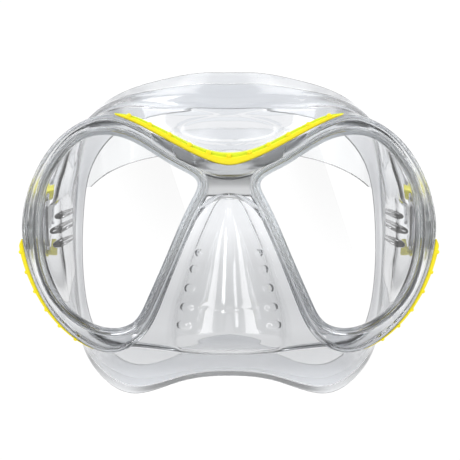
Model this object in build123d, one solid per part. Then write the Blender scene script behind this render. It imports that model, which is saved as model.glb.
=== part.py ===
from build123d import *
import math
import os

# Twin-lens snorkel mask with its strap, in millimetres.
# x: towards the wearer's left, y: towards the back of the head, z: up.
# Everything is laid out from the front face of the glass (y = 0) and moved at the end,
# so that the origin is the middle of the face seal.

# ---- driving sizes ----
SEAL_Y = 28.0            # glass front to the middle of the face seal
HEAD_R = 78.0            # radius of the head cylinder that the seal follows
GLASS_T = 3.2            # tempered glass
SEAT = 3.3               # lens aperture to the wall of the lens seat
RING_FRONT = -3.4        # front of the retaining rings
RING_BEVEL = 1.4         # inner bevel of the retaining rings
FRAME_FRONT = -2.0       # front rim of the frame
FRAME_BACK = 8.0         # back of the frame
LIP_T = 1.5              # skirt lip between the glass and the frame
NECK_IN = 0.2            # lens aperture to the inside of the skirt neck
NECK_OUT = 1.8           # lens aperture to the outside of the skirt neck
GAP = 0.05               # clearance between snapped parts
SKIRT_T = 1.8            # skirt wall
SEAL_T = 1.2             # skirt at its feather edge
NOSE_T = 2.0             # nose pocket wall
PIVOT_Y = 17.0           # buckle pivot behind the glass front
PIVOT_Z = -2.0           # buckle pivot height
PIN_R = 2.0              # buckle pivot pin
RUN = 0.06               # radial clearance of turning parts
REST_TILT = 19.0         # strap above the horizontal at rest, degrees
STRAP_T = 1.8            # strap thickness
STRAP_W = 16.8           # strap width in the buckle
PAD_W = 30.0             # strap width at the back of the head
LOOP_LEN = 160.0         # buckle pivot to the back of the strap loop
ROLLER_R = 1.6           # buckle roller
SOFT_GAP = 0.35          # room between the soft strap and what moves beside it
PRESS = 1.8              # travel of a squeeze button

# Lens aperture on the wearer's left, clockwise from the corner beside the nose bridge.
APERTURE = [
    (12.6, 18.6), (19.6, 24.2), (31.6, 31.4), (41.0, 36.4), (49.6, 38.0), (58.8, 36.0),
    (66.4, 28.8), (72.4, 18.6), (75.2, 2.0), (73.4, -14.4), (67.2, -27.4), (58.0, -35.5),
    (46.4, -39.2), (38.6, -37.0), (33.2, -28.8), (24.0, -7.8), (14.6, 12.8),
]
# Outside of the frame ring on the same side.
RING = [
    (6.6, 22.4), (12.4, 29.2), (27.6, 37.0), (38.0, 42.8), (48.8, 46.1), (59.8, 42.9),
    (69.6, 35.2), (78.2, 21.4), (82.8, 1.0), (79.8, -15.8), (72.4, -31.2), (60.4, -43.9),
    (46.0, -49.0), (35.0, -43.4), (26.2, -27.4), (19.0, -9.4), (10.2, 9.6),
]
# Skirt: half outline behind the frame and half outline of the face seal, top to bottom.
SKIRT_FRONT = [
    (0.0, 23.0), (12.0, 27.4), (24.0, 33.6), (37.0, 41.0), (48.4, 44.0), (60.0, 40.6),
    (69.8, 30.6), (75.6, 17.4), (77.2, 2.0), (75.0, -14.6), (68.8, -28.6), (60.0, -38.6),
    (49.0, -45.6), (40.0, -46.6), (29.0, -47.6), (15.0, -49.4), (0.0, -50.0),
]
SKIRT_SEAL = [
    (0.0, 64.4), (13.0, 64.2), (27.0, 61.8), (40.0, 58.4), (51.0, 53.2), (59.4, 44.6),
    (63.6, 32.0), (65.4, 17.0), (66.0, 2.0), (65.6, -14.0), (64.6, -28.0), (62.6, -43.0),
    (57.0, -56.0), (48.0, -64.6), (37.0, -67.2), (19.0, -61.8), (0.0, -59.6),
]
# Face opening inside the seal, half outline.
FACE_OPEN = [
    (0.0, 49.0), (20.0, 48.0), (38.0, 43.6), (49.0, 37.6), (57.0, 26.0), (60.6, 8.0),
    (61.0, -10.0), (59.4, -28.0), (54.6, -42.0), (44.0, -52.0), (34.0, -54.4), (22.0, -51.0),
    (12.0, -46.0), (0.0, -44.0),
]
# Nose pocket, top to bottom: height, half width, reach in front of the skirt front.
NOSE = [
    (13.0, 2.4, 4.0), (6.0, 8.4, 9.5), (-8.0, 14.6, 16.0), (-24.0, 19.6, 22.0),
    (-37.0, 23.0, 26.0), (-45.0, 22.4, 22.0), (-49.6, 19.0, 10.0),
]
SKIRT_Y = FRAME_BACK + GAP   # front of the skirt wall behind the frame


def whole(half):
    """A closed outline from its half on the wearer's left, given from top to bottom."""
    return half + [(-x, z) for x, z in half[-2:0:-1]]


def grown(outline, by):
    """The outline moved outwards by a distance; inwards if it is negative."""
    edge = Spline(*[(x, 0, z) for x, z in outline], periodic=True)
    count = 3 * len(outline)
    result = []
    for i in range(count):
        at = edge @ (i / count)
        along = edge % (i / count)
        result.append((at.X - along.Z * by, at.Z + along.X * by))
    return result


def face_at(outline, y, spacing=None):
    """A flat face with this outline at one depth, its points spaced as on another outline."""
    spacing = spacing or outline
    shares = [0.0]
    for a, b in zip(spacing, spacing[1:] + spacing[:1]):
        shares.append(shares[-1] + math.dist(a, b))
    edge = Edge.make_spline([Vector(x, y, z) for x, z in outline], periodic=True,
                            parameters=shares)
    return Face(Wire([edge]))


def slab(outline, y0, y1):
    """The outline as a plate between two depths."""
    return extrude(face_at(outline, y0), amount=y1 - y0, dir=(0, 1, 0))


def taper(outline0, y0, outline1, y1):
    """A body that runs from one outline to another with the same number of points."""
    return loft([face_at(outline0, y0), face_at(outline1, y1, outline0)], ruled=True)


def box(x0, x1, y0, y1, z0, z1):
    """A box between two corners."""
    made = Box(x1 - x0, y1 - y0, z1 - z0)
    return Pos((x0 + x1) / 2, (y0 + y1) / 2, (z0 + z1) / 2) * made


def rod_x(radius, x0, x1, y, z):
    """A round bar across the mask."""
    return Pos((x0 + x1) / 2, y, z) * Rot(0, 90, 0) * Cylinder(radius, x1 - x0)


def rod_z(radius, z0, z1, x, y):
    """An upright round bar."""
    return Pos(x, y, (z0 + z1) / 2) * Cylinder(radius, z1 - z0)


def head_y(x):
    """Depth of the head's surface across the mask."""
    return SEAL_Y + HEAD_R - math.sqrt(HEAD_R ** 2 - min(abs(x), HEAD_R * 0.98) ** 2)


def other_side(shape):
    """The same part for the wearer's right."""
    return mirror(shape, about=Plane.YZ)


def save(name, shape):
    """One solid per file, with the origin moved to the face seal."""
    moved = Pos(0, -SEAL_Y, 0) * shape
    solids = moved.solids()
    export_step(Compound(children=list(solids)) if len(solids) > 1 else solids[0],
                os.path.join("parts", name + ".step"))
    print(name, len(solids), round(sum(s.volume for s in solids)))


def save_pair(name, shape):
    """The part on both sides: left is +x."""
    save(name + "_left", shape)
    save(name + "_right", other_side(shape))


os.makedirs("parts", exist_ok=True)

# ---- glass, retaining rings ----
lens = slab(grown(APERTURE, SEAT - 0.35), 0, GLASS_T)
ring = slab(grown(APERTURE, SEAT - GAP), RING_FRONT, -GAP)
ring -= slab(APERTURE, RING_FRONT - 1, 1)
ring -= taper(grown(APERTURE, RING_BEVEL + 0.1), RING_FRONT - 0.1,
              grown(APERTURE, 0.0), RING_FRONT + RING_BEVEL)

# ---- trims ----
brow_low = [(0, 26.0), (8, 27.8), (16, 31.4), (24, 35.6), (32, 40.0), (40, 43.9), (45.6, 46.1)]
brow_high = [(45.8, 46.5), (40, 45.6), (32, 41.9), (24, 37.6), (16, 33.4), (8, 30.4), (0, 29.4)]
brow_front = FRAME_FRONT - 0.9
brow_half = Polyline(*[(x, brow_front, z) for x, z in brow_low + brow_high], close=True)
brow = extrude(Face(Wire(brow_half.edges())), amount=FRAME_BACK - 0.6 - brow_front, dir=(0, 1, 0))
brow += other_side(brow)
for x, z in [(0, 29.3), (8.4, 30.4), (15.8, 33.2), (23.8, 37.4), (31.8, 41.7), (40, 45.4)]:
    nib = Pos(x, (brow_front + FRAME_BACK) / 2, z) * Rot(90, 0, 0) * Cylinder(0.9, 9.2)
    brow += nib
    if x:
        brow += other_side(nib)

ring_edge = Spline(*[(x, 0, z) for x, z in RING], periodic=True)


def on_ring(at, out):
    """A point outside the frame ring: share of the way round, distance out."""
    spot = ring_edge @ at
    along = ring_edge % at
    return (spot.X - along.Z * out, spot.Z + along.X * out)


def ring_share(x, z):
    """Share of the way round the frame ring nearest to a point."""
    steps = [i / 720 for i in range(720)]
    return min(steps, key=lambda s: (ring_edge @ s - Vector(x, 0, z)).length)


TRIM_FROM = ring_share(82.7, -3.6)
TRIM_TO = ring_share(54.0, -47.2)
TRIM_T = 1.5
TRIM_STEPS = 10


def trim_at(k):
    """Share of the way round, and thickness, at step k of the side trim."""
    u = k / TRIM_STEPS
    return TRIM_FROM + (TRIM_TO - TRIM_FROM) * u, TRIM_T * (1 - u ** 1.6) + 0.25


outer = [on_ring(s, GAP + t) for s, t in [trim_at(k) for k in range(TRIM_STEPS + 1)]]
inner = [on_ring(s, GAP) for s, t in [trim_at(k) for k in range(TRIM_STEPS, -1, -1)]]
trim_front = FRAME_FRONT + 1.0
trim_line = [Spline(*[(x, trim_front, z) for x, z in outer]),
             Spline(*[(x, trim_front, z) for x, z in inner])]
trim_line.append(Line(trim_line[0] @ 1, trim_line[1] @ 0))
trim_line.append(Line(trim_line[1] @ 1, trim_line[0] @ 0))
side_trim = extrude(Face(Wire(trim_line)), amount=7.5, dir=(0, 1, 0))
for k in range(6):
    s, t = trim_at(0.9 + 1.52 * k)
    x, z = on_ring(s, GAP + t - 0.25)
    side_trim += Pos(x, trim_front + 3.75, z) * Rot(90, 0, 0) * Cylinder(0.8, 7.5)
side_trim -= slab(grown(RING, GAP), -10, 10)

# ---- frame ----
half = slab(RING, FRAME_FRONT, FRAME_BACK)
half &= taper(grown(RING, -0.8), FRAME_FRONT, grown(RING, 10.2), FRAME_FRONT + 11)
frame = half + other_side(half)
arch = [(9.0, 5.0), (6.0, 11.6), (0.0, 14.6), (-6.0, 11.6), (-9.0, 5.0)]
top = [(-30, 38.8), (-24, 35.5), (-16, 31.3), (-8, 27.7), (0, 25.9),
       (8, 27.7), (16, 31.3), (24, 35.5), (30, 38.8)]
bridge_line = [Spline(*[(x, FRAME_FRONT, z) for x, z in arch]),
               Line((-9.0, FRAME_FRONT, 5.0), (-14.0, FRAME_FRONT, 5.0)),
               Line((-14.0, FRAME_FRONT, 5.0), (-30.0, FRAME_FRONT, 38.8)),
               Spline(*[(x, FRAME_FRONT, z) for x, z in top]),
               Line((30.0, FRAME_FRONT, 38.8), (14.0, FRAME_FRONT, 5.0)),
               Line((14.0, FRAME_FRONT, 5.0), (9.0, FRAME_FRONT, 5.0))]
frame += extrude(Face(Wire(bridge_line)), amount=FRAME_BACK - 2 - FRAME_FRONT, dir=(0, 1, 0))
lug_in = 79.2
lug_out = 81.0
lug = box(lug_in, lug_out, FRAME_BACK - 2, PIVOT_Y, PIVOT_Z - 5.5, PIVOT_Z + 5.5)
lug += rod_x(5.5, lug_in, lug_out, PIVOT_Y, PIVOT_Z)
lug -= rod_x(PIN_R + 0.01, lug_in - 1, lug_out + 1, PIVOT_Y, PIVOT_Z)
groove = slab(grown(RING, -2.0), FRAME_FRONT - 1, FRAME_FRONT + 1.3)
groove -= box(-12, 12, -10, 10, 0, 60)
seat = slab(grown(APERTURE, SEAT), FRAME_FRONT - 1, GLASS_T + LIP_T + GAP)
seat += slab(grown(APERTURE, NECK_OUT + 0.1), 0, FRAME_BACK + 1)
for cut in (groove, seat):
    frame -= cut
    frame -= other_side(cut)
frame += lug
frame += other_side(lug)
frame -= Pos(0, 0, -GAP) * brow

# ---- skirt ----


def funnel(front, seal, y0, y1):
    """Straight walls from the front outline that meet the head on the seal outline."""
    far = []
    for (x0, z0), (x1, z1) in zip(front, seal):
        stretch = (y1 - y0) / (head_y(x1) - y0)
        far.append((x0 + (x1 - x0) * stretch, z0 + (z1 - z0) * stretch))
    return taper(whole(front), y0, whole(far), y1)


def inset(half_outline, by):
    """A half outline moved towards its inside, point by point."""
    line = [(-half_outline[1][0], half_outline[1][1])] + half_outline
    line.append((-half_outline[-2][0], half_outline[-2][1]))
    result = []
    for before, (x, z), after in zip(line, line[1:], line[2:]):
        dx = after[0] - before[0]
        dz = after[1] - before[1]
        size = math.hypot(dx, dz)
        result.append((x + dz / size * by, z - dx / size * by))
    return result


FAR_Y = head_y(67.0) + 4
outside = funnel(SKIRT_FRONT, SKIRT_SEAL, SKIRT_Y, FAR_Y)
inside = funnel(inset(SKIRT_FRONT, SKIRT_T), inset(SKIRT_SEAL, SKIRT_T), SKIRT_Y + SKIRT_T, FAR_Y)
head_axis_y = SEAL_Y + HEAD_R
head = rod_z(HEAD_R, -300, 400, 0, head_axis_y)
seal_skin = rod_z(HEAD_R + SEAL_T, -300, 400, 0, head_axis_y)
opening = slab(whole(FACE_OPEN), 0, FAR_Y + 5)
skirt = outside - (inside - seal_skin) - head - (opening & inside)


def nose(shrink, top_cut):
    """The nose pocket as a body; the back half is inside the mask."""
    rows = []
    for z, wide, reach in NOSE:
        spot = Plane(origin=(0, SKIRT_Y + SKIRT_T, z - top_cut if z > 0 else z + shrink * 0.5))
        rows.append(spot * Ellipse(max(wide - shrink, 0.8), max(reach - shrink, 1.4)))
    return loft([row.face() for row in rows])


pocket = nose(0, 0) & box(-40, 40, -40, SKIRT_Y + SKIRT_T, -60, 30)
skirt += pocket
skirt -= nose(NOSE_T, 1.5) & box(-40, 40, -40, SKIRT_Y + SKIRT_T + 6, -60, 30)
lip_y = GLASS_T + GAP
neck = slab(grown(APERTURE, NECK_OUT), lip_y, SKIRT_Y + SKIRT_T)
neck += slab(grown(APERTURE, SEAT - 0.1), lip_y, lip_y + LIP_T - GAP)
window = slab(grown(APERTURE, NECK_IN), -1, SKIRT_Y + SKIRT_T + 0.5)
skirt += neck
skirt += other_side(neck)
skirt -= window
skirt -= other_side(window)

# ---- buckle, laid out level and then tilted with the strap about the pivot ----
AXIS_X = 78.9            # roller and pawl lie on this line
HALF_W = STRAP_W / 2
CHEEK = HALF_W + 0.5     # inner face of a cheek
CHEEK_T = 1.7
BAR_OUT = 82.7           # outer face of the buckle
FORK_IN = 77.2           # inner face of the fork
ROLLER_Y = 13.0          # behind the pivot
PAWL_Y = 24.5
BUTTON_END = 14.4        # outer face of a squeeze button above the strap's middle
TURN_IN = ROLLER_R + SOFT_GAP
TURN_OUT = TURN_IN + STRAP_T
side = CHEEK + CHEEK_T

fork = box(FORK_IN, BAR_OUT, 0, 7, -5.5, 5.5) + rod_x(5.5, FORK_IN, BAR_OUT, 0, 0)
fork -= box(lug_in - 0.2, lug_out + 0.2, -8, 6.4, -8, 8)
body = fork + box(FORK_IN, BAR_OUT, 6.4, 8.7, -side, side)
for sign in (1, -1):
    low, high = sorted((sign * CHEEK, sign * side))
    cheek = box(FORK_IN, BAR_OUT, 6.4, 30, low, high)
    cheek += box(AXIS_X - TURN_OUT - 0.1, FORK_IN + 0.5, 11, 30, low, high)
    low, high = sorted((sign * (CHEEK - 1), sign * (side + 1)))
    cheek -= box(AXIS_X - 1.3, AXIS_X + 1.3, 17.7, 21.3, low, high)
    body += cheek
body += box(AXIS_X - 0.7, AXIS_X + 0.7, 27, 29, -side, side)
body -= rod_x(PIN_R + RUN, FORK_IN - 1, BAR_OUT + 1, 0, 0)
body -= rod_z(0.71, -side - 1, side + 1, AXIS_X, ROLLER_Y)
body -= rod_z(0.9 + RUN, -side - 1, side + 1, AXIS_X, PAWL_Y)

axle = rod_z(0.7, -side, side, AXIS_X, ROLLER_Y)
roller = rod_z(ROLLER_R, -HALF_W, HALF_W, AXIS_X, ROLLER_Y)
roller -= rod_z(0.7 + RUN, -HALF_W - 1, HALF_W + 1, AXIS_X, ROLLER_Y)

pawl_half = BUTTON_END - 1.5 - 4.9 - PRESS - 0.3
pawl = rod_z(0.9, -side, side, AXIS_X, PAWL_Y)
pawl += box(AXIS_X - 0.85, AXIS_X + 0.85, 18.4, PAWL_Y, -pawl_half, pawl_half)
pawl += box(AXIS_X, AXIS_X + TURN_IN - 0.35, 18.4, 19.6, -pawl_half, pawl_half)

button = box(AXIS_X - 2.6, AXIS_X + 2.6, 12.5, 26.5, BUTTON_END - 1.5, BUTTON_END)
button += box(AXIS_X - 1.0, AXIS_X + 1.0, 18.0, 21.0, BUTTON_END - 6.4, BUTTON_END - 1.4)

# ---- strap: round the rollers, a short tail, and a loop behind the head ----


def band(points, start, end):
    """A strip of strap along a curve, as an outline in the x-y plane."""
    path = Spline(*points, tangents=[start, end])
    count = 4 * len(points)
    left = []
    right = []
    for i in range(count + 1):
        at = path @ (i / count)
        along = path % (i / count)
        left.append((at.X - along.Y * STRAP_T / 2, at.Y + along.X * STRAP_T / 2))
        right.append((at.X + along.Y * STRAP_T / 2, at.Y - along.X * STRAP_T / 2))
    lines = [Spline(*left), Spline(*right)]
    lines.append(Line(lines[0] @ 0, lines[1] @ 0))
    lines.append(Line(lines[0] @ 1, lines[1] @ 1))
    return make_face(lines)


RUN_IN = AXIS_X - TURN_IN - STRAP_T / 2      # middle of the inner run
RUN_OUT = AXIS_X + TURN_IN + STRAP_T / 2     # middle of the tail in the buckle
TAIL_X = RUN_IN + STRAP_T + SOFT_GAP         # middle of the tail beside the inner run
STRAIGHT = 54.0                              # end of the straight run
loop_points = [(RUN_IN, STRAIGHT), (73.2, 88), (62.0, 124), (38.0, 151), (0, LOOP_LEN)]
loop_points += [(-x, y) for x, y in loop_points[-2::-1]]
loop = extrude(band(loop_points, (0, 1), (0, -1)), amount=PAD_W / 2, both=True)
rise = LOOP_LEN - 52
profile = Polyline((0, 0, HALF_W), (0, 84, HALF_W), (0, rise, PAD_W / 2), (0, 200, PAD_W / 2),
                   (0, 200, -PAD_W / 2), (0, rise, -PAD_W / 2), (0, 84, -HALF_W),
                   (0, 0, -HALF_W), close=True)
loop &= extrude(Face(Wire(profile.edges())), amount=100, both=True)
split = Rot(90, 0, 0) * extrude(SlotOverall(84, 9), amount=400, both=True)
loop -= split & box(-90, 90, LOOP_LEN - 40, LOOP_LEN + 20, -30, 30)
ends = box(RUN_IN - STRAP_T / 2, RUN_IN + STRAP_T / 2, ROLLER_Y, STRAIGHT, -HALF_W, HALF_W)
turn = rod_z(TURN_OUT, -HALF_W, HALF_W, AXIS_X, ROLLER_Y)
turn -= rod_z(TURN_IN, -HALF_W - 1, HALF_W + 1, AXIS_X, ROLLER_Y)
ends += turn & box(AXIS_X - 9, AXIS_X + 9, ROLLER_Y - 9, ROLLER_Y, -20, 20)
ends += box(RUN_OUT - STRAP_T / 2, RUN_OUT + STRAP_T / 2, ROLLER_Y, 22, -HALF_W, HALF_W)
tail = band([(RUN_OUT, 22), (RUN_OUT - 0.3, 29), (TAIL_X, 39), (TAIL_X, 58)], (0, 1), (0, 1))
ends += extrude(tail, amount=HALF_W, both=True)
strap = loop + ends + other_side(ends)

KEEPER_Y = 45.0          # middle of the keeper behind the pivot
keeper_in = RUN_IN - STRAP_T / 2 - SOFT_GAP
keeper_out = TAIL_X + STRAP_T / 2 + SOFT_GAP
keeper = box(keeper_in - 1.2, keeper_out + 1.2, KEEPER_Y - 3, KEEPER_Y + 3,
             -HALF_W - SOFT_GAP - 1.2, HALF_W + SOFT_GAP + 1.2)
keeper -= box(keeper_in, keeper_out, KEEPER_Y - 4, KEEPER_Y + 4,
              -HALF_W - SOFT_GAP, HALF_W + SOFT_GAP)


def tilted(shape):
    """From the level layout behind the pivot to the strap's place at rest."""
    return Pos(0, PIVOT_Y, PIVOT_Z) * Rot(REST_TILT, 0, 0) * shape


pin = rod_x(PIN_R, FORK_IN + 0.2, BAR_OUT - 0.2, PIVOT_Y, PIVOT_Z)

save("skirt", skirt)
save("frame", frame)
save_pair("lens", lens)
save_pair("retaining_ring", ring)
save("brow_trim", brow)
save_pair("side_trim", side_trim)
save_pair("pivot_pin", pin)
save_pair("buckle_body", tilted(body))
save_pair("roller_axle", tilted(axle))
save_pair("roller", tilted(roller))
save_pair("pawl", tilted(pawl))
save_pair("button_upper", tilted(button))
save_pair("button_lower", tilted(mirror(button, about=Plane.XY)))
save("strap", tilted(strap))
save_pair("strap_keeper", tilted(keeper))
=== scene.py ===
import math

import bpy
import bmesh
import numpy as np
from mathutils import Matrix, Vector


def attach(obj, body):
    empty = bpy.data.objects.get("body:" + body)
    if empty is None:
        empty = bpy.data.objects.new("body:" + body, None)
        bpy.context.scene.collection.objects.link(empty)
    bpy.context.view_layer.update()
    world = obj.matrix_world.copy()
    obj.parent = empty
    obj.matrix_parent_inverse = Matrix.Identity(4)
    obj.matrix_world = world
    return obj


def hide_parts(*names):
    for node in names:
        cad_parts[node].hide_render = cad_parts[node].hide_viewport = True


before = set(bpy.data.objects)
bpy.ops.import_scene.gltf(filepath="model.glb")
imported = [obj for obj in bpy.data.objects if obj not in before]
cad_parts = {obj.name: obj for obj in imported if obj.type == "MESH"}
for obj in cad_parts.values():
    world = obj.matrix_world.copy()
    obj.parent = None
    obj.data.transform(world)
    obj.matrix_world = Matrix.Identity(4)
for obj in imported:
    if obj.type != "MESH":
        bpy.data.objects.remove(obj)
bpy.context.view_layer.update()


# ---------------------------------------------------------------- sizes, in millimetres
# x: the wearer's left, y: backwards from the front face of the glass, z: up
SEAL_Y = 28.0        # depth of the seal at the middle of the face, where the part has y = 0
HEAD_R = 78.0        # radius of the face that the seal follows
SEAT = 3.3           # reach of the frame's seat past the aperture
GLASS_T = 3.2
GLASS_EDGE = 0.35    # chamfer of the glass, and its play in the seat
FRONT_Y = -2.0       # front of the frame's rim
BACK_Y = 8.0         # back of the frame
WALL_Y = 8.05        # where the skirt's outer wall leaves the frame
WIDEST_FRAME = 13.0
BESIDE_BRIDGE = 4.3  # width of the frame beside the bridge
WALL_T = 1.8         # thickness of the skirt's wall, and at its seal
SEAL_T = 0.8
POCKET_T = 1.3       # thickness of the nose pocket, and at its rim
POCKET_RIM_T = 0.25
BUCKLE_ROOM = 3.0    # how far the side walls stand back for the buckles
BRIDGE_DROP = 12.2   # height of the bridge's front band
PIVOT_Y = 17.0       # the buckles' pivot
PIVOT_Z = -2.0
LUG_R = 5.5
LUG_ROOT_Y = 7.95
LUG_FACES_X = (79.2, 81.0)
TILT = math.radians(19)    # the buckles' slope at rest
TRIM_T = 1.65        # side trim: thickness at its top end
TRIM_TIP = 0.15
TRIM_TOP = (82.7, -3.6)
TRIM_FOOT = (54.0, -47.2)
N_RING = 560         # points round an aperture
N_SKIRT = 520        # points round the skirt

# outlines as pairs of x and z; those of the skirt are halves, from the top middle down
APERTURE = [
    (12.6, 18.6), (19.6, 24.2), (31.6, 31.4), (41.0, 36.4), (49.6, 38.0), (58.8, 36.0),
    (66.4, 28.8), (72.4, 18.6), (75.2, 2.0), (73.4, -14.4), (67.2, -27.4), (58.0, -35.5),
    (46.4, -39.2), (38.6, -37.0), (33.2, -28.8), (24.0, -7.8), (14.6, 12.8),
]
RING = [
    (6.6, 22.4), (12.4, 29.2), (27.6, 37.0), (38.0, 42.8), (48.8, 46.1), (59.8, 42.9),
    (69.6, 35.2), (78.2, 21.4), (82.8, 1.0), (79.8, -15.8), (72.4, -31.2), (60.4, -43.9),
    (46.0, -49.0), (35.0, -43.4), (26.2, -27.4), (19.0, -9.4), (10.2, 9.6),
]
SKIRT_FRONT = [
    (0.0, 23.0), (12.0, 27.4), (24.0, 33.6), (37.0, 41.0), (48.4, 44.0), (60.0, 40.6),
    (69.8, 30.6), (75.6, 17.4), (77.2, 2.0), (75.0, -14.6), (68.8, -28.6), (60.0, -38.6),
    (49.0, -45.6), (40.0, -46.6), (29.0, -47.6), (15.0, -49.4), (0.0, -50.0),
]
SKIRT_SEAL = [
    (0.0, 64.4), (13.0, 64.2), (27.0, 61.8), (40.0, 58.4), (51.0, 53.2), (59.4, 44.6),
    (63.6, 32.0), (65.4, 17.0), (66.0, 2.0), (65.6, -14.0), (64.6, -28.0), (62.6, -43.0),
    (57.0, -56.0), (48.0, -64.6), (37.0, -67.2), (19.0, -61.8), (0.0, -59.6),
]
FACE_OPEN = [
    (0.0, 49.0), (12.0, 48.8), (24.0, 47.4), (35.0, 44.8), (44.6, 41.0), (52.0, 34.4),
    (57.4, 25.0), (60.0, 13.0), (60.9, 0.0), (60.9, -13.0), (59.6, -27.0), (56.6, -38.4),
    (51.0, -46.6), (43.4, -52.4), (34.0, -54.4), (18.5, -49.4), (0.0, -44.0),
]
# nose pocket: height, half width, reach forwards
NOSE = [
    (14.2, 1.0, 1.0), (13.2, 3.6, 3.6), (6.0, 8.6, 9.5), (-8.0, 14.6, 16.0), (-24.0, 19.6, 22.0),
    (-37.0, 22.9, 25.4), (-42.0, 23.2, 25.2), (-45.6, 23.0, 20.5), (-48.8, 21.4, 11.5),
    (-50.0, 18.6, 3.0),
]


# ---------------------------------------------------------------- helpers
def lerp(a, b, t):
    return a + (b - a) * t


def smooth(e0, e1, x):
    """An even rise from 0 at e0 to 1 at e1."""
    t = np.clip((np.asarray(x, float) - e0) / (e1 - e0), 0, 1)
    return t * t * (3 - 2 * t)


def spline(points, closed=True, spacing=None):
    """A C2 cubic through the points, as a function of a share from 0 to 1."""
    p = np.array(points, float)
    q = np.array(spacing if spacing is not None else points, float)
    if closed:
        h = np.linalg.norm(np.roll(q, -1, 0) - q, axis=1)
        n = len(p)
        a = np.zeros((n, n))
        b = np.zeros((n, p.shape[1]))
        for i in range(n):
            hm, hp = h[i - 1], h[i]
            a[i, i - 1] += 1 / hm
            a[i, i] += 2 / hm + 2 / hp
            a[i, (i + 1) % n] += 1 / hp
            b[i] = 3 * ((p[i] - p[i - 1]) / hm ** 2 + (p[(i + 1) % n] - p[i]) / hp ** 2)
        d = np.linalg.solve(a, b)
        p = np.vstack([p, p[:1]])
        d = np.vstack([d, d[:1]])
    else:
        h = np.linalg.norm(q[1:] - q[:-1], axis=1)
        n = len(p)
        a = np.zeros((n, n))
        b = np.zeros((n, p.shape[1]))
        a[0, 0], a[0, 1] = 2, 1
        b[0] = 3 * (p[1] - p[0]) / h[0]
        a[-1, -1], a[-1, -2] = 2, 1
        b[-1] = 3 * (p[-1] - p[-2]) / h[-1]
        for i in range(1, n - 1):
            a[i, i - 1] = 1 / h[i - 1]
            a[i, i] = 2 / h[i - 1] + 2 / h[i]
            a[i, i + 1] = 1 / h[i]
            b[i] = 3 * ((p[i] - p[i - 1]) / h[i - 1] ** 2 + (p[i + 1] - p[i]) / h[i] ** 2)
        d = np.linalg.solve(a, b)
    t = np.concatenate([[0], np.cumsum(h)])

    def at(share):
        s = np.asarray(share, float)
        u = (s % 1.0 if closed else np.clip(s, 0, 1)) * t[-1]
        i = np.clip(np.searchsorted(t, u, side="right") - 1, 0, len(h) - 1)
        k = ((u - t[i]) / h[i])[..., None]
        hh = h[i][..., None]
        return ((1 + 2 * k) * (1 - k) ** 2 * p[i] + k * (1 - k) ** 2 * hh * d[i]
                + k * k * (3 - 2 * k) * p[i + 1] + k * k * (k - 1) * hh * d[i + 1])
    return at


def even(curve, n, closed=True):
    """n points spread evenly along a spline."""
    s = np.linspace(0, 1, 4001)
    p = curve(s[:-1] if closed else s)
    if closed:
        p = np.vstack([p, p[:1]])
    ln = np.concatenate([[0], np.cumsum(np.linalg.norm(np.diff(p, axis=0), axis=1))])
    want = np.linspace(0, ln[-1], n + 1)[:-1] if closed else np.linspace(0, ln[-1], n)
    return np.stack([np.interp(want, ln, p[:, k]) for k in range(p.shape[1])], 1)


def normals2(p):
    """Outward normals of a clockwise closed outline."""
    t = np.roll(p, -1, 0) - np.roll(p, 1, 0)
    t /= np.linalg.norm(t, axis=1)[:, None]
    return np.stack([-t[:, 1], t[:, 0]], 1)


def reach(p, n, outline):
    """Distance from each point along its normal to a closed outline."""
    a = outline
    b = np.roll(outline, -1, 0)
    nowhere = 99.0
    result = np.full(len(p), nowhere)
    for i in range(len(p)):
        e = b - a
        w = a - p[i]
        den = n[i, 0] * e[:, 1] - n[i, 1] * e[:, 0]
        den = np.where(abs(den) < 1e-9, 1e-9, den)
        t = (w[:, 0] * e[:, 1] - w[:, 1] * e[:, 0]) / den
        u = (w[:, 0] * n[i, 1] - w[:, 1] * n[i, 0]) / den
        ok = (u >= 0) & (u <= 1) & (t > 0)
        if ok.any():
            result[i] = t[ok].min()
    return result


def grid_faces(rows, cols, wrap_rows, wrap_cols, base=0):
    """Four-sided faces of a grid of points, which may close on itself either way."""
    faces = []
    for i in range(rows if wrap_rows else rows - 1):
        for j in range(cols if wrap_cols else cols - 1):
            a = i * cols + j
            b = i * cols + (j + 1) % cols
            c = ((i + 1) % rows) * cols + (j + 1) % cols
            d = ((i + 1) % rows) * cols + j
            faces.append((base + a, base + b, base + c, base + d))
    return faces


def capped_tube(rows, cols):
    """Faces of a row of closed loops, with both ends closed."""
    ends = [tuple(range(cols)), tuple(range((rows - 1) * cols, rows * cols))]
    return grid_faces(rows, cols, False, True) + ends


def prism(n):
    """Faces between two copies of an outline of n points."""
    sides = [(i, (i + 1) % n, n + (i + 1) % n, n + i) for i in range(n)]
    return [tuple(range(n)), tuple(range(n, 2 * n))] + sides


def piece(name, verts, faces, mat, sharp=None):
    """A mesh from points in millimetres, measured from the glass front."""
    v = np.asarray(verts, float).reshape(-1, 3).copy()
    v[:, 1] -= SEAL_Y
    me = bpy.data.meshes.new(name)
    me.from_pydata((v / 1000).tolist(), [], faces)
    me.materials.append(mat)
    bm = bmesh.new()
    bm.from_mesh(me)
    bmesh.ops.recalc_face_normals(bm, faces=bm.faces)
    bm.to_mesh(me)
    bm.free()
    for poly in me.polygons:
        poly.use_smooth = True
    if sharp is not None:
        me.set_sharp_from_angle(angle=math.radians(sharp))
    ob = bpy.data.objects.new(name, me)
    bpy.context.scene.collection.objects.link(ob)
    return ob


def finish_behind(ob, mat, depth):
    """Gives the faces deeper than this a second material."""
    ob.data.materials.append(mat)
    for poly in ob.data.polygons:
        if poly.center.y > (depth - SEAL_Y) / 1000:
            poly.material_index = 1
    return ob


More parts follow.
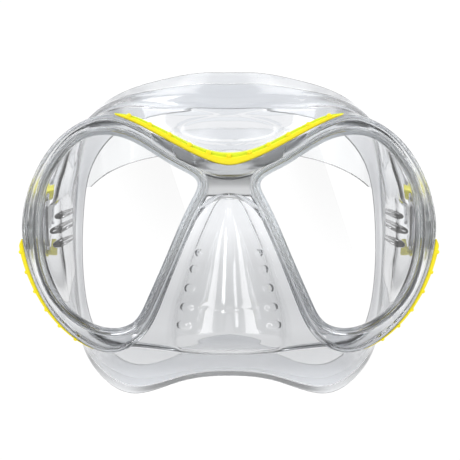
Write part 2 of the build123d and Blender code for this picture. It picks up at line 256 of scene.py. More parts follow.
def sweep(name, path, nrm, profile, mat, sharp=35, back=None, back_from=0.0):
    """A closed profile (offset, depth) carried round a closed outline.
    profile is an array (outline points, profile points, 2). Faces deeper than
    back_from take the back material, where one is given."""
    n, m = profile.shape[:2]
    xz = path[:, None, :] + nrm[:, None, :] * profile[:, :, :1]
    v = np.stack([xz[..., 0], profile[..., 1], xz[..., 1]], -1)
    ob = piece(name, v, grid_faces(n, m, True, True), mat, sharp)
    if back:
        finish_behind(ob, back, back_from)
    return ob


def mirrored(ob, name):
    """A copy on the other side of the middle."""
    me = ob.data.copy()
    for v in me.vertices:
        v.co.x = -v.co.x
    me.flip_normals()
    me.name = name
    other = bpy.data.objects.new(name, me)
    bpy.context.scene.collection.objects.link(other)
    return other


def discard(obs):
    for ob in obs:
        old = ob.data
        bpy.data.objects.remove(ob)
        bpy.data.meshes.remove(old)


def joined(name, obs):
    """Several meshes as one piece."""
    bm = bmesh.new()
    mats = []
    for ob in obs:
        base = len(mats)
        mats += [m for m in ob.data.materials]
        k = len(bm.faces)
        bm.from_mesh(ob.data)
        bm.faces.ensure_lookup_table()
        for f in bm.faces[k:]:
            f.material_index += base
    me = bpy.data.meshes.new(name)
    bm.to_mesh(me)
    bm.free()
    unique = []
    order = []
    for m in mats:
        if m not in unique:
            unique.append(m)
        order.append(unique.index(m))
    for m in unique:
        me.materials.append(m)
    for poly in me.polygons:
        poly.material_index = order[poly.material_index] if order else 0
    out = bpy.data.objects.new(name, me)
    bpy.context.scene.collection.objects.link(out)
    discard(obs)
    out.name = name
    me.name = name
    return out


def apply_modifiers(ob):
    deps = bpy.context.evaluated_depsgraph_get()
    bpy.context.view_layer.update()
    me = bpy.data.meshes.new_from_object(ob.evaluated_get(deps))
    ob.modifiers.clear()
    ob.data = me
    return ob


def stand_for(ob, body, nodes):
    """Ties a piece to its body, and hides the CAD nodes it stands for."""
    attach(ob, body)
    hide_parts(*nodes)


# ---------------------------------------------------------------- materials
def new_mat(name):
    m = bpy.data.materials.new(name)
    m.use_nodes = True
    nt = m.node_tree
    return m, nt, nt.nodes["Principled BSDF"]


def add_bump(nt, bsdf, scale, strength, distance=0.0002, detail=4.0):
    tc = nt.nodes.new("ShaderNodeTexCoord")
    noise = nt.nodes.new("ShaderNodeTexNoise")
    noise.inputs["Scale"].default_value = scale
    noise.inputs["Detail"].default_value = detail
    bump = nt.nodes.new("ShaderNodeBump")
    bump.inputs["Strength"].default_value = strength
    bump.inputs["Distance"].default_value = distance
    nt.links.new(tc.outputs["Object"], noise.inputs["Vector"])
    nt.links.new(noise.outputs["Fac"], bump.inputs["Height"])
    nt.links.new(bump.outputs["Normal"], bsdf.inputs["Normal"])
    return noise


def math_node(nt, op, a, b=None):
    n = nt.nodes.new("ShaderNodeMath")
    n.operation = op
    for i, x in enumerate((a, b)):
        if x is None:
            continue
        if isinstance(x, (int, float)):
            n.inputs[i].default_value = x
        else:
            nt.links.new(x, n.inputs[i])
    return n.outputs[0]


def step_node(nt, x, e0, e1, low, high):
    n = nt.nodes.new("ShaderNodeMapRange")
    n.interpolation_type = "SMOOTHSTEP"
    nt.links.new(x, n.inputs["Value"])
    n.inputs["From Min"].default_value = e0
    n.inputs["From Max"].default_value = e1
    n.inputs["To Min"].default_value = low
    n.inputs["To Max"].default_value = high
    return n.outputs["Result"]


def clear(name, color, rough, ior, wave=0.0, wave_scale=60.0):
    """A clear plastic, rubber or glass. wave makes its surface slightly uneven."""
    m, nt, b = new_mat(name)
    b.inputs["Base Color"].default_value = (*color, 1)
    b.inputs["Roughness"].default_value = rough
    b.inputs["IOR"].default_value = ior
    b.inputs["Transmission Weight"].default_value = 1.0
    if wave:
        add_bump(nt, b, wave_scale, wave, 0.0005, 2.0)
    return m


def solid(name, color, rough, bump=0.15, scale=900.0, coat=0.0, metal=0.0):
    """An opaque plastic or metal with a fine grain."""
    m, nt, b = new_mat(name)
    b.inputs["Roughness"].default_value = rough
    b.inputs["Metallic"].default_value = metal
    b.inputs["Coat Weight"].default_value = coat
    noise = add_bump(nt, b, scale, bump)
    ramp = nt.nodes.new("ShaderNodeValToRGB")
    ramp.color_ramp.elements[0].position = 0.3
    ramp.color_ramp.elements[1].position = 0.7
    ramp.color_ramp.elements[0].color = (*[c * 0.94 for c in color], 1)
    ramp.color_ramp.elements[1].color = (*color, 1)
    nt.links.new(noise.outputs["Fac"], ramp.inputs["Fac"])
    nt.links.new(ramp.outputs["Color"], b.inputs["Base Color"])
    return m


# Every use below paints shade into the colour of a clear part.
def painted_shade_by_height(mat, stops):
    """A grey tint that changes with height: pairs of height and grey, lowest first."""
    shaded(mat, stops, "Z")


def along_depth(mat, stops):
    """The same from front to back."""
    shaded(mat, stops, "Y")


def shaded(mat, stops, way):
    nt = mat.node_tree
    tc = nt.nodes.new("ShaderNodeTexCoord")
    sep = nt.nodes.new("ShaderNodeSeparateXYZ")
    nt.links.new(tc.outputs["Object"], sep.inputs[0])
    low, high = stops[0][0], stops[-1][0]
    place = nt.nodes.new("ShaderNodeMapRange")
    nt.links.new(sep.outputs[way], place.inputs["Value"])
    place.inputs["From Min"].default_value = low / 1000
    place.inputs["From Max"].default_value = high / 1000
    ramp = nt.nodes.new("ShaderNodeValToRGB")
    nt.links.new(place.outputs["Result"], ramp.inputs[0])
    set_stops(ramp, [((z - low) / (high - low), shade) for z, shade in stops])
    nt.links.new(ramp.outputs[0], nt.nodes["Principled BSDF"].inputs["Base Color"])


def set_stops(ramp, stops, green=1.015, blue=1.04, most=1.0):
    """Fills a colour ramp from pairs of position and grey, tinted very slightly blue."""
    elements = ramp.color_ramp.elements
    while len(elements) < len(stops):
        elements.new(1.0)
    for element, (at, shade) in zip(elements, stops):
        element.position = at
    for element, (at, shade) in zip(elements, stops):
        element.color = (shade, min(most, shade * green), min(most, shade * blue), 1)


def paint_lens_reflection(mat):
    """A painted reflection across each lens: a faint slanting shade, which grows and then stops
    short.
    """
    nt = mat.node_tree
    tc = nt.nodes.new("ShaderNodeTexCoord")
    sep = nt.nodes.new("ShaderNodeSeparateXYZ")
    nt.links.new(tc.outputs["Object"], sep.inputs[0])
    slant = math_node(nt, "MULTIPLY", sep.outputs["Z"], 0.33)
    across = math_node(nt, "ADD", sep.outputs["X"], slant)
    shade = None
    bands = ((-0.054, -0.0145), (0.0195, 0.0475))
    for start, end in bands:
        rise = step_node(nt, across, start, end - 0.002, 0.0, 0.085)
        stop = step_node(nt, across, end - 0.0006, end, 1.0, 0.0)
        up = step_node(nt, sep.outputs["Z"], -0.035, 0.03, 0.0, 1.0)
        band = math_node(nt, "MULTIPLY", math_node(nt, "MULTIPLY", rise, stop), up)
        shade = band if shade is None else math_node(nt, "ADD", shade, band)
    value = math_node(nt, "SUBTRACT", 0.99, shade)
    comb = nt.nodes.new("ShaderNodeCombineColor")
    for i in range(3):
        nt.links.new(value, comb.inputs[i])
    nt.links.new(comb.outputs[0], nt.nodes["Principled BSDF"].inputs["Base Color"])


M_FRAME = clear("clear_polycarbonate_front", (0.86, 0.87, 0.89), 0.02, 1.5)
M_FRAME_BACK = clear("clear_polycarbonate_matt", (0.90, 0.91, 0.925), 0.42, 1.5)
# Painted shade on the clear bridge: darkest in the undercut below its rounded band, dark on the
# plate above the arch, lighter on the arch and the band.
M_BRIDGE_PAINTED_SHADE = clear("clear_polycarbonate_bridge_painted_shade", (0.8, 0.8, 0.8), 0.02, 1.5)
painted_shade_by_height(M_BRIDGE_PAINTED_SHADE, [(10, 0.70), (13.6, 0.62), (14.4, 0.44), (16.6, 0.42), (18.4, 0.20),
                     (20.6, 0.10), (21.4, 0.12), (22.4, 0.46), (25, 0.52), (40, 0.75)])
M_RING = clear("clear_ring", (0.87, 0.88, 0.895), 0.02, 1.5)
M_RING_BACK = clear("clear_ring_matt", (0.87, 0.88, 0.895), 0.25, 1.5)
# The silicone's own faint grey, with painted shade by height: darker over the lower part, lightest
# just above the middle.
M_SKIRT = clear("clear_silicone", (0.83, 0.85, 0.87), 0.05, 1.41, 0.25, 70.0)
painted_shade_by_height(M_SKIRT, [(-66, 0.92), (-58, 0.78), (-54, 0.66), (-46, 0.60), (-40, 0.64), (-28, 0.60),
                    (-14, 0.68), (0, 0.90), (12, 0.95), (30, 0.88), (42, 0.84), (60, 0.86)])
# The seal's own faint grey, with painted shade: darker over the lower part.
M_SEAL = clear("clear_silicone_matt", (0.83, 0.85, 0.87), 0.30, 1.41)
painted_shade_by_height(M_SEAL, [(-66, 0.90), (-61, 0.84), (-56, 0.78), (-46, 0.80), (-28, 0.80), (0, 0.90),
                   (30, 0.88), (60, 0.86)])
M_STRAP = clear("strap_silicone", (0.975, 0.98, 0.985), 0.06, 1.22, 0.15, 60.0)
along_depth(M_STRAP, [(0, 0.72), (45, 0.74), (88, 0.975), (134, 0.975), (146, 0.84)])
# The frame's and rings' own faint grey, with painted shade: darker below.
RING_PAINTED_SHADE = [(-50, 0.80), (-28, 0.84), (-12, 0.98), (30, 0.98), (50, 0.94)]    # darker below
for ring_mat in (M_FRAME, M_FRAME_BACK, M_RING, M_RING_BACK):
    painted_shade_by_height(ring_mat, RING_PAINTED_SHADE)
M_GLASS = clear("lens_glass", (0.985, 0.99, 0.99), 0.0, 1.5)
# The lens colour carries a painted reflection, a faint slanting shade.
paint_lens_reflection(M_GLASS)
M_ACETAL = clear("clear_buckle", (0.95, 0.96, 0.97), 0.08, 1.46)
M_YELLOW = solid("yellow_soft", (0.90, 0.76, 0.0), 0.45, 0.12)
# Painted shade: a darker, greener yellow for the step along the top of the brow band.
M_YELLOW_PAINTED_SHADE = solid("yellow_soft_painted_shade", (0.62, 0.72, 0.0), 0.45, 0.12)
M_BUTTON = solid("yellow_button", (0.86, 0.80, 0.01), 0.25, 0.05, coat=0.3)
M_STEEL = solid("steel_pin", (0.62, 0.62, 0.63), 0.28, 0.05, 1600.0, metal=1.0)


# ---------------------------------------------------------------- outlines
ap = even(spline(APERTURE), N_RING)
ap_n = normals2(ap)


def frame_width():
    """How far the frame reaches out from the aperture, narrower beside the bridge."""
    width = np.minimum(reach(ap, ap_n, even(spline(RING), 1200)), WIDEST_FRAME)
    inner_top = smooth(3, 14, ap[:, 1]) * (1 - smooth(20, 33, ap[:, 0]))
    return lerp(width, np.minimum(width, BESIDE_BRIDGE), inner_top)


def both_sides(half):
    """An open line over the middle, from its half at x > 0."""
    return [(-x, z) for x, z in half[:0:-1]] + half


def all_round(half):
    """A closed outline, from its half at x > 0."""
    return half + [(-x, z) for x, z in half[-2:0:-1]]


# ---------------------------------------------------------------- lenses
def lens_profile():
    r = SEAT - GLASS_EDGE
    inset = r - GLASS_EDGE
    return [(inset, 0.0), (r, GLASS_EDGE), (r, GLASS_T - GLASS_EDGE), (inset, GLASS_T)]


def make_lens(name):
    """A flat glass with chamfered edges."""
    profile = lens_profile()
    v = []
    for d, y in profile:
        v += [(x, y, z) for x, z in ap + ap_n * d]
    return piece(name, v, capped_tube(len(profile), N_RING), M_GLASS, 20)


lens_l = make_lens("lens_glass_left")
lens_r = mirrored(lens_l, "lens_glass_right")
stand_for(lens_l, "mask", ["lens_left"])
stand_for(lens_r, "mask", ["lens_right"])


# ---------------------------------------------------------------- retaining rings
def make_bezel(name):
    """A sloped inner lip, a fine groove and a rounded outer bead; its back is matt."""
    rows = [(0.10, -0.06), (0.02, -0.5), (0.0, -1.1), (0.12, -1.5), (1.05, -2.5), (1.2, -2.62),
            (1.45, -2.66), (1.6, -2.9), (1.85, -3.2), (2.15, -3.34), (2.85, -3.34), (3.1, -3.2),
            (3.22, -2.9), (3.25, -0.3), (3.1, -0.06)]
    profile = np.repeat(np.array(rows)[None], N_RING, 0)
    return sweep(name, ap, ap_n, profile, M_RING, 40, M_RING_BACK, -0.2)


bezel_l = make_bezel("bezel_left")
bezel_r = mirrored(bezel_l, "bezel_right")
stand_for(bezel_l, "mask", ["retaining_ring_left"])
stand_for(bezel_r, "mask", ["retaining_ring_right"])


# ---------------------------------------------------------------- frame
def frame_profile():
    """The frame's section at each point of the aperture: seat, flat land, groove, rounded
    rim, outer wall, back face and inner step. It follows the width of the frame."""
    w = frame_width()
    land = w - SEAT
    rim = np.minimum(1.75, 0.42 * land)
    line = np.minimum(0.55, 0.16 * land)
    deep = 0.95 * np.clip((land - 1.0) / 2.0, 0.0, 1.0)
    rows = [
        (SEAT, -1.5), (SEAT + 0.12, -1.75), (SEAT + np.minimum(0.35, 0.1 * land), -1.85),
        (w - rim - line - 0.25 * np.minimum(1, land / 3), -1.55),
        (w - rim - line, -1.45 + 0.3 * deep), (w - rim - line * 0.55, -1.6 + deep),
        (w - rim - line * 0.3, -1.6 + deep), (w - rim, FRONT_Y + 0.35),
        (w - rim * 0.8, FRONT_Y + 0.08), (w - rim * 0.55, FRONT_Y - 0.06),
        (w - rim * 0.3, FRONT_Y + 0.06), (w - rim * 0.1, FRONT_Y + 0.4), (w, FRONT_Y + 1.0),
        (w, BACK_Y - 0.5), (w - 0.15, BACK_Y - 0.15), (w - 0.5, BACK_Y), (2.2, BACK_Y),
        (1.95, BACK_Y - 0.2), (1.9, 5.2), (1.95, 4.85), (3.1, 4.8), (3.3, 4.6),
    ]
    return section_stack(rows)


def section_stack(rows):
    """Pairs of offset and depth, each a number or one value a point, as one array."""
    plain = np.zeros(N_RING)
    return np.stack([np.stack([d + plain, y + plain], 1) for d, y in rows], 1)


frame_l = sweep("frame_l", ap, ap_n, frame_profile(), M_FRAME, 45, M_FRAME_BACK, 4.7)
frame_r = mirrored(frame_l, "frame_r")

# the bridge's top edge and the arch over the nose
top_half = [(0, 25.9), (8, 27.7), (16, 31.3), (24, 35.5), (31, 38.9)]
top_line = even(spline(both_sides(top_half), False), 61, False)
arch_half = [(0, 12.9), (4.2, 12.2), (8.9, 9.5), (13.6, 3.4), (17.9, -3.2)]
arch_line = even(spline(both_sides(arch_half), False), 81, False)


def bridge_body():
    """The bar between the rings: a rounded band under the trim, an undercut below it,
    and a blank plate above the nose arch."""
    below = [(0.0, -1.4), (0.25, -2.1), (0.9, -2.5), (1.8, -2.62), (2.8, -2.5), (3.6, -2.2),
             (4.1, -1.6)]
    below += [(8.2 - 3.9 * math.cos(a), -1.4 + 3.0 * math.sin(a))
              for a in np.linspace(0.2, math.pi / 2, 9)]
    below += [(BRIDGE_DROP, 1.6)]
    back = 6.0
    v = []
    for x, z in top_line:
        foot = z - BRIDGE_DROP - 0.25 * abs(x)
        v += [(x, y, z - t * (z - foot) / BRIDGE_DROP) for t, y in below]
        v += [(x, back, foot), (x, back, z)]
    faces = capped_tube(len(top_line), len(below) + 2)
    return finish_behind(piece("bridge_body", v, faces, M_BRIDGE_PAINTED_SHADE, 40), M_FRAME_BACK, 5.5)


def arch_flange():
    """The rounded flange that runs over the nose and down inside both rings."""
    tangent = np.gradient(arch_line, axis=0)
    tangent /= np.linalg.norm(tangent, axis=1)[:, None]
    out = np.stack([-tangent[:, 1], tangent[:, 0]], 1)
    section = [(-0.1, 6.5), (-0.1, -0.6), (0.1, -1.1), (0.5, -1.4), (1.1, -1.4), (1.6, -1.0),
               (1.9, -0.3), (2.0, 6.5)]
    v = []
    for place, way in zip(arch_line, out):
        for d, y in section:
            x, z = place + way * d
            v.append((x, y, z))
    faces = capped_tube(len(arch_line), len(section))
    return finish_behind(piece("arch_flange", v, faces, M_BRIDGE_PAINTED_SHADE, 40), M_FRAME_BACK, 6.0)


def lug(name):
    """The plate with a round end that carries a buckle's pivot pin."""
    outline = [(LUG_ROOT_Y, LUG_R)]
    outline += [(PIVOT_Y + LUG_R * math.sin(a), LUG_R * math.cos(a))
                for a in np.linspace(0, math.pi, 25)]
    outline += [(LUG_ROOT_Y, -LUG_R)]
    v = [(x, y, z + PIVOT_Z) for x in LUG_FACES_X for y, z in outline]
    return finish_behind(piece(name, v, prism(len(outline)), M_FRAME, 30), M_FRAME_BACK, 0.0)


lug_l = lug("lug_l")
lug_r = mirrored(lug_l, "lug_r")


def boolean(target, others, operation):
    for ob in others:
        mod = target.modifiers.new("u", "BOOLEAN")
        mod.operation = operation
        mod.solver = "EXACT"
        if operation == "UNION":
            mod.material_mode = "TRANSFER"
        mod.object = ob
    apply_modifiers(target)
    discard(others)
    return target


def union(target, others):
    boolean(target, others, "UNION")
    target.data.set_sharp_from_angle(angle=math.radians(38))
    return target


def aperture_cutter(name, d, y0, y1):
    """A block the shape of the aperture, a little larger than the seat."""
    v = [(x, y, z) for y in (y0, y1) for x, z in ap + ap_n * d]
    return piece(name, v, prism(N_RING), M_FRAME)


bridge = union(bridge_body(), [arch_flange()])
cutter_l = aperture_cutter("cutter_l", SEAT + 0.02, -5, 12)
cutter_r = mirrored(cutter_l, "cutter_r")
bridge = boolean(bridge, [cutter_l, cutter_r], "DIFFERENCE")
frame_ob = joined("clear_frame", [union(frame_l, [frame_r, bridge]), lug_l, lug_r])
stand_for(frame_ob, "mask", ["frame"])


# ---------------------------------------------------------------- yellow trims
low_half = [(0, 26.0), (8, 27.8), (16, 31.4), (24, 35.6), (32, 40.0), (40, 43.9), (45.6, 46.1)]
high_half = [(0, 30.6), (8, 31.7), (16, 34.8), (24, 38.9), (32, 42.9), (40, 46.0), (45.8, 46.75)]
low_line = even(spline(both_sides(low_half), False), 121, False)
high_line = even(spline(both_sides(high_half), False), 121, False)


def brow_band():
    """The V-shaped band: a rounded front face with a lower step along its top, which takes a darker,
    greener yellow as painted shade.
    """
    section = [(0.0, 7.2), (0.0, -2.2), (0.07, -2.65), (0.22, -2.95), (0.50, -2.98), (0.61, -2.8),
               (0.66, -2.3), (0.68, -1.7), (0.93, -1.6), (1.0, -1.3), (1.04, 0.5), (1.1, 4.0),
               (1.14, 7.2)]
    v = []
    for low, high in zip(low_line, high_line):
        for k, y in section:
            x, z = low + (high - low) * k
            v.append((x, y, z))
    n = len(low_line)
    m = len(section)
    band = piece("brow_band", v, capped_tube(n, m), M_YELLOW, 40)
    # The step along the top and the top face take the painted shade.
    band.data.materials.append(M_YELLOW_PAINTED_SHADE)
    for poly in band.data.polygons:
        if poly.index < (n - 1) * m and 6 <= poly.index % m <= 11:
            poly.material_index = 1
    return band


def nib(x, z, r, y0, y1):
    """A short rounded bar that runs front to back."""
    n = 16
    turns = np.linspace(0, 2 * math.pi, n, endpoint=False)
    rounds = [(y0, r * 0.55), (y0 + r * 0.2, r * 0.88), (y0 + r * 0.55, r), (y1 - r * 0.4, r),
              (y1, r * 0.6)]
    v = [(x + rr * math.cos(a), y, z + rr * math.sin(a)) for y, rr in rounds for a in turns]
    return piece("nib", v, capped_tube(len(rounds), n), M_YELLOW, 50)


def make_brow():
    """The band with eleven nibs, in pairs but for the middle one."""
    parts = [brow_band()]
    for x in (0, 8.2, 15.8, 23.7, 31.7, 40.0):
        low = np.interp(x, low_line[:, 0], low_line[:, 1])
        high = np.interp(x, high_line[:, 0], high_line[:, 1])
        z = lerp(low, high, 0.82)
        for side in (1, -1)[:2 if x else 1]:
            parts.append(nib(side * x, z, 1.0, -3.05, 6.8))
    return joined("brow_trim_soft", parts)


def make_side_trim(name):
    """A tapering band round the frame's outer edge, with six nibs."""
    line = even(spline(RING), 1440)
    out = normals2(line)
    first, last = (int(np.argmin(np.hypot(line[:, 0] - x, line[:, 1] - z)))
                   for x, z in (TRIM_TOP, TRIM_FOOT))
    steps = 80
    v = []
    for k in range(steps + 1):
        u = k / steps
        i = int(round(first + (last - first) * u)) % len(line)
        t = trim_thickness(u) * min(1.0, (k + 1.5) / 5.0)
        for d, y in ((0.03, -0.95), (0.35 * t, -1.15), (0.75 * t, -0.95), (t, -0.3), (t, 5.6),
                     (0.8 * t, 6.3), (0.03, 6.5)):
            x, z = line[i] + out[i] * (d + 0.03)
            v.append((x, y, z))
    parts = [piece("side_band", v, capped_tube(steps + 1, 7), M_YELLOW, 40)]
    for k in range(6):
        u = (0.9 + 1.52 * k) / 10
        i = int(round(first + (last - first) * u))
        x, z = line[i] + out[i] * (trim_thickness(u) - 0.2)
        parts.append(nib(x, z, 0.85, -1.0, 6.4))
    return joined(name, parts)


def trim_thickness(u):
    """Thickness of a side trim at a share of its length from the top."""
    return TRIM_T * (1 - u ** 1.6) + TRIM_TIP


stand_for(make_brow(), "mask", ["brow_trim"])
side_l = make_side_trim("side_trim_soft_left")
side_r = mirrored(side_l, "side_trim_soft_right")
stand_for(side_l, "mask", ["side_trim_left"])
stand_for(side_r, "mask", ["side_trim_right"])


# ---------------------------------------------------------------- skirt
# its three outlines share one spacing, that of the line midway between the frame and the seal
mid = [((a[0] + c[0]) / 2, (a[1] + c[1]) / 2)
       for a, c in zip(all_round(SKIRT_FRONT), all_round(SKIRT_SEAL))]
front_at = spline(all_round(SKIRT_FRONT), True, mid)
seal_at = spline(all_round(SKIRT_SEAL), True, mid)
open_at = spline(all_round(FACE_OPEN), True, mid)


def closer_beside_ribs(n):
    """Shares of the outline, four times as close together where the ribs are."""
    s = np.linspace(0, 1, 4001)
    p = front_at(s)
    beside = smooth(-14, -10, p[:, 1]) * (1 - smooth(12, 16, p[:, 1])) * (abs(p[:, 0]) > 50)
    dense = 1 + 3 * beside
    total = np.concatenate([[0], np.cumsum((dense[1:] + dense[:-1]) / 2)])
    return np.interp(np.linspace(0, total[-1], n, endpoint=False), total, s)


share = closer_beside_ribs(N_SKIRT)
front_line = front_at(share)
seal_line = seal_at(share)
open_line = open_at(share)


def head_y(x):
    """Depth of the face at x: a cylinder that stands upright."""
    return SEAL_Y + HEAD_R - np.sqrt(HEAD_R ** 2 - np.minimum(abs(x), HEAD_R * 0.98) ** 2)


def wall_point(v):
    """A point of the outer wall: v = 0 at the frame, 1 at the seal edge."""
    xz = lerp(front_line, seal_line, v)
    y = lerp(WALL_Y, head_y(seal_line[:, 0]), v)
    return np.stack([xz[:, 0], y, xz[:, 1]], 1)


def outward(wall):
    """The wall's outward directions, from its neighbouring points."""
    du = np.roll(wall, -1, 1) - np.roll(wall, 1, 1)
    du /= np.linalg.norm(du, axis=2)[..., None]
    out = np.cross(du, np.gradient(wall, axis=0))
    out /= np.linalg.norm(out, axis=2)[..., None]
    return out * np.sign((out[:, 0] * (wall[:, 0] - [0, 30, 0])).sum(1).mean())


# the plain wall, its directions, and each point's place across, up and along it
rows_v = np.concatenate([np.linspace(0, 0.985, 52), [0.994, 1.0]])
plain = np.stack([wall_point(v) for v in rows_v])
out = outward(plain)
X = plain[..., 0]
Z = plain[..., 2]
V = np.repeat(rows_v[:, None], N_SKIRT, 1)


def side_ribs():
    """Three long drops on each side wall, rising towards the back."""
    height = np.zeros(V.shape)
    # middle height, ends along the wall, slope, half width
    drops = ((7.4, 0.28, 0.9, 1.9, 1.35), (2.1, 0.2, 0.96, 2.9, 1.8), (-4.6, 0.24, 0.8, 1.9, 1.6))
    for zc, v0, v1, slope, half in drops:
        along = (V - (v0 + v1) / 2) / ((v1 - v0) / 2)
        room = np.clip(1 - along ** 2, 0, 1)
        width = half * (0.35 + 0.65 * np.sqrt(room)) * (1 - 0.3 * along)
        across = (Z - zc - slope * along) / width
        height += np.clip(1 - across ** 2, 0, 1) ** 1.5 * np.sqrt(room) * (abs(X) > 40)
    return height


def oval_relief():
    """The outline of a blank oval on the forehead wall."""
    wide, tall, middle_z = 20.2, 5.2, 40.6
    up = (Z - middle_z) / tall
    from_middle = np.sqrt((X / wide) ** 2 + up ** 2)
    gap = (from_middle - 1) * tall / np.sqrt(0.06 + np.clip(up ** 2, 0, 1))
    return 0.28 * np.exp(-(gap / 0.55) ** 2) * ((Z > 25) & (abs(X) < 26))


def buckle_pocket():
    """The side walls stand back behind the frame, where the buckles swing."""
    early = smooth(0.0, 0.2, V) * smooth(6, 15, Z)
    across = np.maximum(smooth(0.02, 0.38, V), early) * (1 - smooth(0.72, 0.95, V))
    upright = smooth(-32, -13, Z) * (1 - smooth(24, 42, Z))
    return BUCKLE_ROOM * across * upright * smooth(54, 62, abs(X))


def forehead_fold():
    """A groove and a low ridge beyond it, along the top wall."""
    groove = -0.9 * np.exp(-((V - 0.64) / 0.05) ** 2)
    ridge = 0.7 * np.exp(-((V - 0.76) / 0.06) ** 2)
    return smooth(8, 30, Z) * (groove + ridge)


outer = plain - out * buckle_pocket()[..., None] + out * forehead_fold()[..., None]
thick = lerp(WALL_T, SEAL_T, smooth(0.72, 1.0, rows_v))
inner = outer - out * thick[:, None, None]
raised = outer + out * (side_ribs() + oval_relief())[..., None]


def seal_row(k, depth):
    """A row of the seal flap, from the outer edge (k = 0) to the face opening (k = 1)."""
    xz = lerp(seal_line, open_line, k)
    curl = 1.6 * smooth(0.55, 1.0, k)
    return np.stack([xz[:, 0], head_y(xz[:, 0]) - 0.15 - curl - depth, xz[:, 1]], 1)


def make_chamber():
    """The outer wall, the seal flap, the turn inside it and the inner wall, as one closed skin."""
    seal_rows = [seal_row(k, 0) for k in (0.03, 0.12, 0.25, 0.4, 0.55, 0.7, 0.85, 0.95, 1.0)]
    back_rows = [seal_row(k, 1.35 - 0.85 * k) for k in (1.0, 0.95, 0.85, 0.7, 0.55, 0.45)]
    turn_row = 38
    turn_out = seal_row(0.06, 1.1)
    corner = [(1 - t) ** 2 * back_rows[-1] + 2 * t * (1 - t) * turn_out + t * t * inner[turn_row]
              for t in np.linspace(0, 1, 12)[1:]]
    inner_rows = [inner[i] for i in range(turn_row - 2, -1, -2)]
    loop = np.stack(list(raised) + seal_rows + back_rows + corner + inner_rows)
    chamber = piece("chamber", loop, grid_faces(len(loop), N_SKIRT, True, True), M_SKIRT, None)
    chamber.data.materials.append(M_SEAL)
    first_matt = len(raised) - 1
    last_matt = len(loop) - len(inner_rows)
    for poly in chamber.data.polygons:
        row = poly.index // N_SKIRT
        if first_matt <= row < last_matt or row < 2 or row > len(loop) - 3:
            poly.material_index = 1
    return chamber


def make_neck(name):
    """The lip that holds a lens in its window, and the wall behind the frame."""
    longest = 9.0
    narrow = 4.4
    wide = np.minimum(reach(ap, ap_n, even(front_at, 1200)), longest) - 0.3
    wide = np.where(wide > longest - 0.4, narrow, wide)
    nose_side = smooth(40, 22, ap[:, 0]) * smooth(24, 18, ap[:, 1])
    wide = lerp(wide, np.minimum(wide, narrow), nose_side)
    rows = [(0.3, 9.6), (0.2, 9.2), (0.2, 3.6), (0.4, 3.3), (3.0, 3.3), (3.2, 3.5), (3.2, 4.5),
            (3.0, 4.72), (1.9, 4.75), (1.8, 5.0), (1.8, 7.9), (2.0, 8.08), (wide - 0.3, 8.08),
            (wide, 8.4), (wide, 9.5), (wide - 0.3, 9.83), (0.7, 9.83)]
    return sweep(name, ap[::2], ap_n[::2], section_stack(rows)[::2], M_SKIRT, 50)


# the nose pocket and the web beside it, whose edge follows the inner arms of the frame
ROWS = 130
COLS = 141
arm = [(7.0, 20.0), (9.6, 14.0), (13.6, 6.0), (21.0, -9.4), (28.0, -27.4), (33.5, -38.0),
       (37.5, -44.0), (40.0, -47.0), (42.0, -50.5)]
arm_line = even(spline(arm, False), 400, False)


def pocket_row(zz, ww, dd):
    """One level of the nose pocket with the web on both sides, left to right."""
    half = (COLS - 1) // 2
    edge = max(np.interp(-zz, -arm_line[:, 1], arm_line[:, 0]), ww + 1.2)
    n_arc = int(half * 0.76)
    ang = np.linspace(0, math.pi / 2, n_arc + 1)
    web = np.linspace(0, 1, half - n_arc + 1)[1:]
    xs = np.concatenate([ww * np.sin(ang), ww + (edge - ww) * web])
    swell = 0.5 * np.cos(ang) + 0.25 * (1 + np.cos(math.pi * np.sin(ang)))
    ys = np.concatenate([WALL_Y - dd * swell, np.full(half - n_arc, WALL_Y)])
    for _ in range(30):
        xs[1:-1] = (xs[:-2] + 2 * xs[1:-1] + xs[2:]) / 4
        ys[1:-1] = (ys[:-2] + 2 * ys[1:-1] + ys[2:]) / 4
        ys[0] = (ys[0] + ys[1]) / 2
    mirror = [(-x, y, zz) for x, y in zip(xs[:0:-1], ys[:0:-1])]
    return mirror + [(x, y, zz) for x, y in zip(xs, ys)]


def grips(v):
    """Five smooth drops on each flank of the pocket."""
    height = np.zeros(v.shape[:2])
    # place across and up, half width, half height
    drops = ((12.4, -9.0, 1.5, 1.1), (14.1, -15.6, 2.0, 1.35), (15.8, -23.2, 2.5, 1.6),
             (17.0, -30.8, 3.0, 1.8), (18.2, -38.0, 3.3, 1.95))
    for gx, gz, wide, tall in drops:
        for side in (1, -1):
            e = ((v[..., 0] - side * gx) / wide) ** 2 + ((v[..., 2] - gz) / tall) ** 2
            height = np.maximum(height, 0.8 * smooth(0.0, 0.8, 1 - e))
    return height


def pocket_crease(v):
    """A shallow wavy crease across the front of the pocket."""
    x, z = v[..., 0], v[..., 2]
    dip = -30.2 - 1.2 * (1 - smooth(4, 8, abs(x))) + 0.25 * np.sin(x * 1.3)
    return -0.38 * np.exp(-((z - dip) / 0.5) ** 2) * (1 - smooth(10, 12.5, abs(x)))


